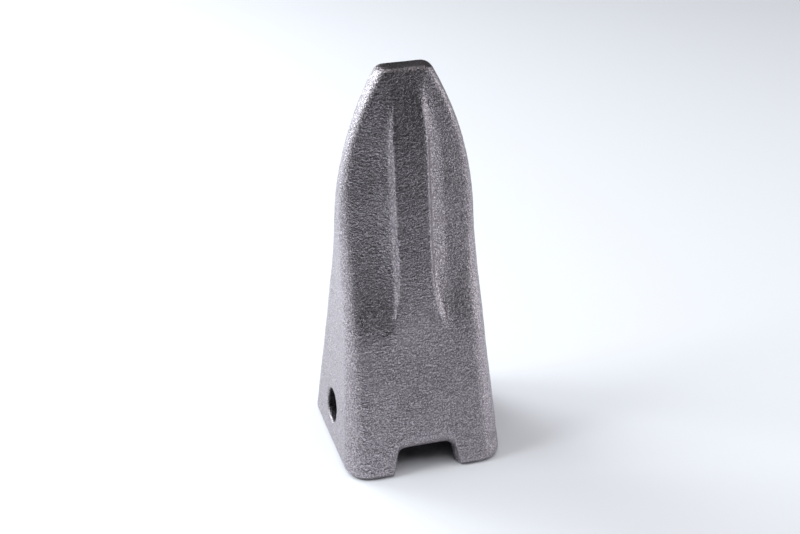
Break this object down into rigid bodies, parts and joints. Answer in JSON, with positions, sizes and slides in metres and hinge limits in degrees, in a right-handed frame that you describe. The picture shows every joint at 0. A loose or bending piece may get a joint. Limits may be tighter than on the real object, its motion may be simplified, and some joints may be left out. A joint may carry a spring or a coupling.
{
  "type": "excavator bucket tooth",
  "caption": "Wedge-shaped forged digging tooth with a central rib, a tapered nose socket, a cross pin and a rubber lock washer that keeps the pin in.",
  "frame": {"origin": "centre of the socket end, on the plane the tooth stands on", "axes": "+Z from the socket end to the tip, X along the retaining pin with the lock washer on the +X side, -Y and +Y out of the two broad faces"},
  "size_m": [0.1064, 0.108, 0.2645],
  "materials": {
    "forged_steel": "shot-blasted forged alloy steel, fine grain, matt",
    "pin_steel": "heat-treated turned steel, thin dark oxide",
    "washer_steel": "zinc-phosphated pressed steel",
    "washer_rubber": "moulded black rubber, matt",
    "spring_steel": "blued spring steel"
  },
  "bodies": {
    "tooth": {"tooth_point": "forged_steel"},
    "lock_washer": {"lock_washer_shell": "washer_steel", "lock_washer_rubber": "washer_rubber", "lock_washer_snap_ring": "spring_steel"},
    "pin": {"retaining_pin": "pin_steel"}
  },
  "joints": [
    {"name": "pin_spin", "type": "hinge", "parent": "tooth", "child": "lock_washer", "pos_m": [0, 0, 0.0285], "axis": [1, 0, 0], "continuous": true},
    {"name": "pin_drive", "type": "slide", "parent": "lock_washer", "child": "pin", "axis": [-1, 0, 0], "range_m": [0, 0.11], "deforming": ["lock_washer_snap_ring"]}
  ]
}
